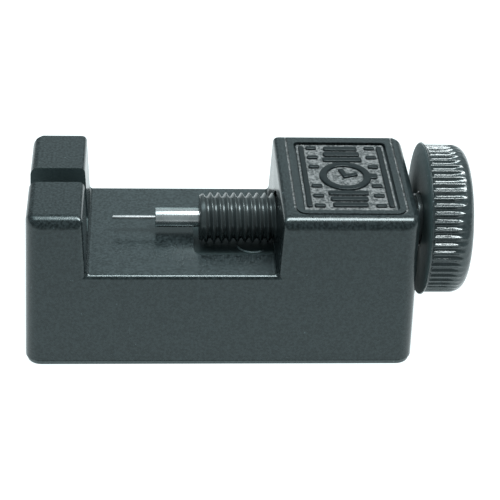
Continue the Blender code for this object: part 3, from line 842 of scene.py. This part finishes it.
def emblem_strokes():
    """A wrist watch between two scales: ((x, y), (x, y), width) about the panel's centre."""
    strokes = [((0.0, 0.0), SHORT_HAND, HAND_WIDTH),
               ((0.0, 0.0), LONG_HAND, HAND_WIDTH),
               ((CROWN_START, 0.0), (CROWN_START + CROWN_LENGTH, 0.0), CROWN_WIDTH)]
    for end in (-1.0, 1.0):
        for index in range(LINK_COUNT):
            y = end * (CASE_OUTER + (index + 0.5) * LINK_PITCH)
            half = LINK_HALF - index * LINK_TAPER
            strokes.append(((-half, y), (half, y), LINK_WIDTH))
    for side in (-1.0, 1.0):
        x = side * SCALE_X
        strokes.append(((x, -SCALE_HALF), (x, SCALE_HALF), SCALE_WIDTH))
        for index in range(SCALE_STEPS + 1):
            y = SCALE_HALF * (2.0 * index / SCALE_STEPS - 1.0)
            if abs(y) > CASE_OUTER / 2.0:
                near = x - side * (SCALE_WIDTH + SCALE_GAP)
                strokes.append(((near, y), (near - side * SCALE_TICK, y), SCALE_WIDTH))
    return strokes


def make_emblem():
    """A plain drawing of a watch, raised from the panel's field."""
    low = HEIGHT - PANEL_SINK - EMBLEM_ROOT
    high = HEIGHT - EMBLEM_TOP
    emblem = new_piece("panel_emblem", raised_ring_form(CASE_OUTER, CASE_INNER, low, high),
                       EMBLEM_PLASTIC, "frame")
    for start, end, width in emblem_strokes():
        cut(emblem, stroke_form(start, end, width, low, high), "UNION")
    emblem.data.transform(Matrix.Translation((PANEL_X, PANEL_Y, 0.0)))
    shade(emblem)


def make_ejector_mark():
    """A faint raised arc that the mould has left in the pocket under the spindle, coloured light
    grey as a painted glint in the spindle's shade.
    """
    form = bmesh.new()
    steps = 48
    around = 8
    rings = []
    for i in range(steps + 1):
        along = i / steps
        angle = math.radians(MARK_START + MARK_SPAN * along)
        swell = MARK_RIDGE * min(1.0, MARK_TAPER * min(along, 1.0 - along) + MARK_TIP)
        centre = Vector((MARK_CENTRE[0] + MARK_RADIUS * math.cos(angle),
                         MARK_CENTRE[1] + MARK_RADIUS * math.sin(angle), POCKET_FLOOR))
        out = Vector((math.cos(angle), math.sin(angle), 0.0))
        ring = []
        for j in range(around):
            turn = math.tau * j / around
            offset = out * math.cos(turn) + Vector((0.0, 0.0, 1.0)) * math.sin(turn)
            ring.append(form.verts.new(centre + swell * offset))
        rings.append(ring)
    for first, second in zip(rings, rings[1:]):
        join_rings(form, first, second, around)
    form.faces.new(rings[0])
    form.faces.new(rings[-1])
    bmesh.ops.recalc_face_normals(form, faces=form.faces)
    new_piece("ejector_mark", form, MARK_PAINTED_GLINT_PLASTIC, "frame",
              smooth_angle=60.0)


def make_body():
    body = body_blank()
    hollow_body(body)
    cut_spindle_way(body)
    cut_slot(body)
    cut_panel(body)
    soften_cut_edges(body)
    paint_body(body)
    shade(body)
    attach(body, "frame")
    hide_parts("body_frame")


# ------------------------------------------------ base

def make_base_plate():
    """The flange under the rim and the plug inside the shell, with four countersunk holes."""
    half = LENGTH / 2.0 - PLATE_INSET
    flange = box_form((-half, -DEPTH / 2.0, 0.0), (half, DEPTH / 2.0, PLATE_EDGE))
    round_edges(flange, upright_edges(flange), CORNER_RADIUS, 8)
    rim = [edge for edge in flange.edges if max(v.co.z for v in edge.verts) < WELD]
    round_edges(flange, rim, PLATE_EDGE_RADIUS, 3)
    plate = new_piece("base_cover", flange, BASE_PLASTIC)
    half_x = LENGTH / 2.0 - END_WALL - GAP
    half_y = DEPTH / 2.0 - WALL - GAP
    cut(plate, rounded_box_form((-half_x, -half_y, PLATE_EDGE / 2.0),
                                (half_x, half_y, PLATE_HIGH.z), CAVITY_CORNER), "UNION")
    for place in screw_places():
        cut(plate, upright_rod_form(SCREW_SHANK_RADIUS + GAP, -BEYOND, BEYOND, place))
        cut(plate, countersink_form(place))
    shade(plate)
    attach(plate, "frame")
    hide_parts("base_plate")


def countersink_form(place):
    """A cone that opens downward past the plate's underside."""
    wide = SCREW_HEAD_RADIUS + GAP + BEYOND
    depth = wide - SCREW_SHANK_RADIUS
    form = cone_form(wide, SCREW_SHANK_RADIUS, depth, SMALL_STEPS)
    bmesh.ops.translate(form, vec=(*place, depth / 2.0 - BEYOND + SCREW_SINK), verts=form.verts)
    return form


def upright_turned_form(outline, place):
    """A closed form turned about an upright axis from (radius, z) points."""
    form = bmesh.new()
    steps = SMALL_STEPS
    rings = [level_ring(form, radius, z, steps, place) for radius, z in outline]
    for first, second in zip(rings, rings[1:]):
        join_rings(form, first, second, steps)
    bmesh.ops.recalc_face_normals(form, faces=form.faces)
    return form


def make_base_screws():
    """Countersunk screws with a cross recess, seen from below."""
    neck = SCREW_SINK + SCREW_HEAD_RADIUS - SCREW_SHANK_RADIUS
    for index, place in enumerate(screw_places(), 1):
        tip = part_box(f"base_screw_{index}")[1].z
        outline = [(0.0, SCREW_SINK), (SCREW_HEAD_RADIUS - HEAD_EDGE_WIDTH, SCREW_SINK),
                   (SCREW_HEAD_RADIUS, SCREW_SINK + HEAD_EDGE_HEIGHT), (SCREW_SHANK_RADIUS, neck)]
        turns = int((tip - neck - SCREW_POINT) / SCREW_PITCH)
        for turn in range(turns):
            z = neck + (turn + 0.5) * SCREW_PITCH
            outline += [(SCREW_SHANK_RADIUS - SCREW_THREAD_DEPTH, z),
                        (SCREW_SHANK_RADIUS, z + SCREW_PITCH / 2.0)]
        outline += [(SCREW_POINT_RADIUS, tip - SCREW_TIP), (0.0, tip)]
        screw = new_piece(f"cover_screw_{index}", upright_turned_form(outline, place),
                          GROUND_STEEL)
        for turn in (0.0, 90.0):
            bar = box_form((-RECESS_HALF, -RECESS_HALF_WIDTH, SCREW_SINK - 1.0 * MM),
                           (RECESS_HALF, RECESS_HALF_WIDTH, SCREW_SINK + RECESS_DEPTH))
            spin = Matrix.Rotation(math.radians(turn + RECESS_TURN * index), 3, "Z")
            bmesh.ops.rotate(bar, matrix=spin, verts=bar.verts)
            bmesh.ops.translate(bar, vec=(*place, 0.0), verts=bar.verts)
            cut(screw, bar)
        shade(screw)
        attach(screw, "frame")
        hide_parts(f"base_screw_{index}")


# ------------------------------------------------ spindle and bush

def smooth_step(value, low, high):
    along = min(1.0, max(0.0, (value - low) / (high - low)))
    return along * along * (3.0 - 2.0 * along)


def plain_radius(x, left, right):
    """Radius of the unthreaded spindle, chamfered at both ends and tapered at the nose."""
    near = min(x - left, right - x)
    lead = NOSE_LEAD_DEPTH * (1.0 - smooth_step(x, left, left + NOSE_LEAD))
    return SPINDLE_RADIUS - lead - max(0.0, NOSE_CHAMFER - near)


def thread_rows(left, right):
    """Rows of (offset along X, height) that wind once round for each thread pitch."""
    turns = int((right - left) / THREAD_PITCH) + 3
    rows = []
    for turn in range(turns):
        for phase, height in THREAD_SECTION:
            rows.append((left + (turn - 1.0 + phase) * THREAD_PITCH + THREAD_START, height))
    return rows


def add_thread(form, left, right, steps):
    """The spindle's outer surface: a right-hand thread that runs out at both ends."""
    rows = thread_rows(left, right)
    grid = []
    for offset, height in rows:
        line = []
        for i in range(steps):
            x = min(right, max(left, offset + THREAD_PITCH * i / steps))
            cut_in = smooth_step(x, left + NOSE_PLAIN, left + NOSE_PLAIN + THREAD_RUN_IN)
            tail = right - TAIL_PLAIN
            cut_in *= 1.0 - smooth_step(x, tail, tail + THREAD_RUN_OUT)
            groove = THREAD_DEPTH * (1.0 - height) * cut_in
            radius = min(plain_radius(x, left, right), SPINDLE_RADIUS - groove)
            line.append(form.verts.new(on_axis(x, radius, math.tau * i / steps)))
        grid.append(line)
    per_turn = len(THREAD_SECTION)
    for q in range(len(rows) - 1):
        for i in range(steps):
            if i < steps - 1:
                near, far = grid[q][i + 1], grid[q + 1][i + 1]
            elif q + 1 + per_turn < len(rows):
                near, far = grid[q + per_turn][0], grid[q + 1 + per_turn][0]
            else:
                continue
            form.faces.new((grid[q][i], near, far, grid[q + 1][i]))


def make_spindle():
    """Threaded spindle with a bored nose, grooved for the spring ring, and a shank."""
    left = SPINDLE_LOW.x
    right = SHOULDER_X
    end = SPINDLE_HIGH.x
    steps = TURN_STEPS
    rim = SPINDLE_RADIUS - NOSE_CHAMFER
    nose_rim = rim - NOSE_LEAD_DEPTH
    bore = HOLDER_SHANK_RADIUS + RUNNING
    groove_left = RING_LOW.x - RUNNING
    groove_right = RING_HIGH.x + RUNNING
    groove = (RING_HIGH.z - RING_LOW.z) / 2.0 + RUNNING
    form = turned_form([(left, nose_rim), (left, bore + NOSE_SOFT), (left + NOSE_SOFT, bore),
                        (groove_left, bore), (groove_left, groove), (groove_right, groove),
                        (groove_right, bore), (NOSE_BORE_RIGHT, bore), (NOSE_BORE_RIGHT, 0.0)],
                       steps)
    tail = turned_form([(right, rim), (right, SHANK_RADIUS), (end - GAP, SHANK_RADIUS),
                        (end, SHANK_RADIUS - GAP), (end, TAPPED_RADIUS),
                        (end - TAPPED_DEPTH, TAPPED_RADIUS), (end - TAPPED_DEPTH, 0.0)], steps)
    join_forms(form, tail)
    add_thread(form, left, right, steps)
    bmesh.ops.remove_doubles(form, verts=form.verts, dist=2.0 * WELD)
    bmesh.ops.dissolve_degenerate(form, edges=form.edges, dist=2.0 * WELD)
    bmesh.ops.recalc_face_normals(form, faces=form.faces)
    piece = new_piece("threaded_spindle", form, THREAD_METAL, "spindle",
                      smooth_angle=40.0)
    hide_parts("spindle")


def make_bush():
    """The brass bush, with chamfered ends; its bore stands just clear of the thread."""
    outer = (BUSH_HIGH.z - BUSH_LOW.z) / 2.0
    bore = SPINDLE_RADIUS + RUNNING
    soft = 0.5 * MM
    left = BUSH_LOW.x
    right = BUSH_HIGH.x
    outline = [(left, bore + soft), (left, outer - soft), (left + soft, outer),
               (right - soft, outer), (right, outer - soft), (right, bore + soft),
               (right - soft, bore), (left + soft, bore)]
    form = turned_form(outline, TURN_STEPS, closed=True)
    piece = new_piece("brass_bush", form, TURNED_BRASS, "frame")
    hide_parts("thread_bush")


# ------------------------------------------------ knob

def rib_radius(x, radius, step):
    """Radius on the grip, lower between the ribs; the grooves fade at both ends."""
    if radius < KNOB_RADIUS - KNOB_END_RADIUS or x < KNOB_LOW.x + KNOB_LIP_WIDTH - WELD:
        return radius
    if radius > KNOB_RADIUS + WELD:
        return radius
    start = KNOB_LOW.x + KNOB_LIP_WIDTH
    end = KNOB_HIGH.x
    fade = smooth_step(x, start + RIB_START_FADE[0], start + RIB_START_FADE[1])
    fade *= 1.0 - smooth_step(x, end + RIB_END_FADE[0], end + RIB_END_FADE[1])
    height = RIB_SECTION[step % len(RIB_SECTION)][1]
    return radius - RIB_DEPTH * (1.0 - height) * fade


def knob_outline():
    """The knob's closed section, as (x, radius) points from its counterbore round the lip."""
    left = KNOB_LOW.x
    right = KNOB_HIGH.x
    lip = KNOB_LIP_WIDTH
    end = KNOB_END_RADIUS
    cap_bore = (CAP_HIGH.z - CAP_LOW.z) / 2.0 + GAP
    bore = SHANK_RADIUS + GAP
    shoulder_bore = SPINDLE_RADIUS + GAP
    soft = KNOB_SOFT
    outline = [(left + COUNTERBORE_DEPTH, shoulder_bore), (left + soft, shoulder_bore),
               (left, shoulder_bore + soft)]
    outline += [(left + inward, KNOB_LIP_RADIUS - below) for inward, below in LIP_EDGE]
    grip_start = left + lip
    fade_end = grip_start + RIB_START_FADE[1]
    outline += [(grip_start - 0.14 * MM, KNOB_LIP_RADIUS - soft),
                (grip_start - 0.05 * MM, KNOB_RADIUS + 0.2 * MM), (grip_start, KNOB_RADIUS),
                (grip_start + 0.15 * MM, KNOB_RADIUS), (fade_end, KNOB_RADIUS)]
    flat = right - end
    rows = 10
    span = flat - 0.5 * MM - fade_end
    outline += [(fade_end + span * (i + 1) / rows, KNOB_RADIUS) for i in range(rows)]
    outline += [(flat - 0.25 * MM, KNOB_RADIUS)]
    outline += arc(flat, KNOB_RADIUS - end, end, 90.0, 0.0, 12)
    outline += [(right, cap_bore + soft), (right - soft, cap_bore), (CAP_SEAT, cap_bore),
                (CAP_SEAT, HEAD_SEAT_RADIUS), (HUB_RIGHT, HEAD_SEAT_RADIUS), (HUB_RIGHT, bore),
                (left + COUNTERBORE_DEPTH, bore)]
    return outline


def make_knob():
    form = turned_form(knob_outline(), RIB_ANGLES, closed=True, ripple=rib_radius)
    piece = new_piece("ribbed_knob", form, KNOB_PLASTIC, "spindle",
                      smooth_angle=50.0)
    # The knob's left face takes a lighter, matt copy of the knob plastic: painted light on the
    # face
    piece.data.materials.append(KNOB_FACE_PAINTED_LIGHT_PLASTIC)
    for face in piece.data.polygons:
        if face.center.x < KNOB_LOW.x + COUNTERBORE_DEPTH and face.normal.x < -FACING:
            face.material_index = 1
    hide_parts("knob")


def make_knob_cap():
    radius = (CAP_HIGH.z - CAP_LOW.z) / 2.0
    left = CAP_LOW.x
    edge = left + CAP_RIM
    right = CAP_HIGH.x
    soft = CAP_SOFT
    outline = [(left, 0.0), (left, radius), (edge - soft, radius)]
    outline += arc(edge - soft, radius - soft, soft, 60.0, 0.0, 3)
    dome = right - edge
    outline += [(edge + dome * (1.0 - t * t), (radius - soft) * t) for t in DOME_RINGS]
    outline.append((right, 0.0))
    piece = new_piece("domed_cap", turned_form(outline, TURN_STEPS), KNOB_PLASTIC, "spindle")
    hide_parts("knob_cap")


# ------------------------------------------------ punch

def make_punch():
    """The ground sleeve with its shank, and the thin pin."""
    left = HOLDER_LOW.x
    right = HOLDER_HIGH.x
    radius = (HOLDER_HIGH.z - HOLDER_LOW.z) / 2.0
    collar = SPINDLE_LOW.x - COLLAR_GAP
    shank = HOLDER_SHANK_RADIUS
    groove = shank - SHANK_GROOVE_DEPTH
    pin = (PIN_HIGH.z - PIN_LOW.z) / 2.0
    soft = SLEEVE_SOFT
    outline = [(PIN_HIGH.x + GAP, 0.0), (PIN_HIGH.x + GAP, pin + PIN_SOCKET),
               (left + SOCKET_MOUTH_DEPTH, pin + PIN_SOCKET), (left, pin + SOCKET_MOUTH),
               (left, radius - soft), (left + 0.06 * MM, radius - 0.06 * MM),
               (left + soft, radius), (collar - COLLAR_SOFT, radius),
               (collar, radius - COLLAR_SOFT), (collar, shank), (SHANK_GROOVE_LEFT, shank),
               (SHANK_GROOVE_LEFT, groove), (SHANK_GROOVE_RIGHT, groove),
               (SHANK_GROOVE_RIGHT, shank), (right - soft, shank), (right, shank - soft),
               (right, 0.0)]
    sleeve = new_piece("punch_sleeve", turned_form(outline, TURN_STEPS), GROUND_STEEL, "punch")
    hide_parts("punch_holder")
    tip = PIN_LOW.x
    outline = [(tip, 0.0), (tip, pin - PIN_SOFT), (tip + 0.03 * MM, pin - 0.04 * MM),
               (tip + PIN_SOFT, pin), (PIN_HIGH.x, pin), (PIN_HIGH.x, 0.0)]
    thin = new_piece("thin_pin", turned_form(outline, SMALL_STEPS), PIN_STEEL, "punch")
    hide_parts("punch_pin")


def dress_inner_pieces():
    """Give the hidden pieces of the frame the same metals."""
    for node in ("holder_ring", "thrust_ball", "knob_washer", "knob_screw"):
        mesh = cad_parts[node].data
        mesh.materials.clear()
        mesh.materials.append(GROUND_STEEL)


# ------------------------------------------------ stage

def make_floor():
    """A plain pale floor that dims in front of the part."""
    form = bmesh.new()
    bmesh.ops.create_grid(form, x_segments=1, y_segments=1, size=FLOOR_HALF)
    floor = new_piece("floor", form, None)
    shader = Shader("pale_floor")
    shader.set("Base Color", (*FLOOR_COLOUR, 1.0))
    shader.set("Roughness", 0.9)
    shader.set("Specular IOR Level", 0.0)
    shader.set("Emission Color", (*FLOOR_TINT, 1.0))
    parts = shader.add("ShaderNodeSeparateXYZ")
    shader.join(shader.coordinates(), parts.inputs["Vector"])
    glow = shader.remap(parts.outputs["Y"], FLOOR_DIM_TO, FLOOR_DIM_FROM, FLOOR_DIM, FLOOR_GLOW)
    shader.feed("Emission Strength", glow)
    floor.data.materials.append(shader.material)


def make_light(name, size, radiance, place, colour):
    """A rectangular lamp of a given radiance, aimed at the part."""
    data = bpy.data.lights.new(name, "AREA")
    data.shape = "RECTANGLE"
    data.size, data.size_y = size
    data.energy = radiance * math.pi * size[0] * size[1]
    data.color = colour
    lamp = bpy.data.objects.new(name, data)
    bpy.context.scene.collection.objects.link(lamp)
    lamp.location = place
    aim = Vector(LIGHT_TARGET) - Vector(place)
    lamp.rotation_euler = aim.to_track_quat("-Z", "Y").to_euler()


def make_world(strength):
    world = bpy.data.worlds.new("studio")
    world.use_nodes = True
    back = world.node_tree.nodes["Background"]
    back.inputs["Color"].default_value = (*PALE_BLUE, 1.0)
    back.inputs["Strength"].default_value = strength
    bpy.context.scene.world = world


def make_camera():
    """Seen from the front left, looking down at about a third of a right angle."""
    data = bpy.data.cameras.new("camera")
    data.lens = CAMERA_LENS
    data.sensor_width = 36.0
    data.clip_start = 0.01
    camera = bpy.data.objects.new("camera", data)
    bpy.context.scene.collection.objects.link(camera)
    turn = Matrix.Rotation(math.radians(CAMERA_TURN), 4, "Z")
    tilt = Matrix.Rotation(math.radians(90.0 - CAMERA_DOWN), 4, "X")
    roll = Matrix.Rotation(math.radians(CAMERA_ROLL), 4, "Z")
    camera.matrix_world = Matrix.Translation(CAMERA_PLACE) @ turn @ tilt @ roll
    bpy.context.scene.camera = camera


def make_stage():
    make_floor()
    make_world(WORLD_STRENGTH)
    for light in LIGHTS:
        make_light(*light)
    make_camera()
    bpy.context.scene.view_settings.view_transform = "Standard"


make_body()
make_emblem()
make_ejector_mark()
make_base_plate()
make_base_screws()
make_bush()
make_spindle()
make_knob()
make_knob_cap()
make_punch()
dress_inner_pieces()
make_stage()
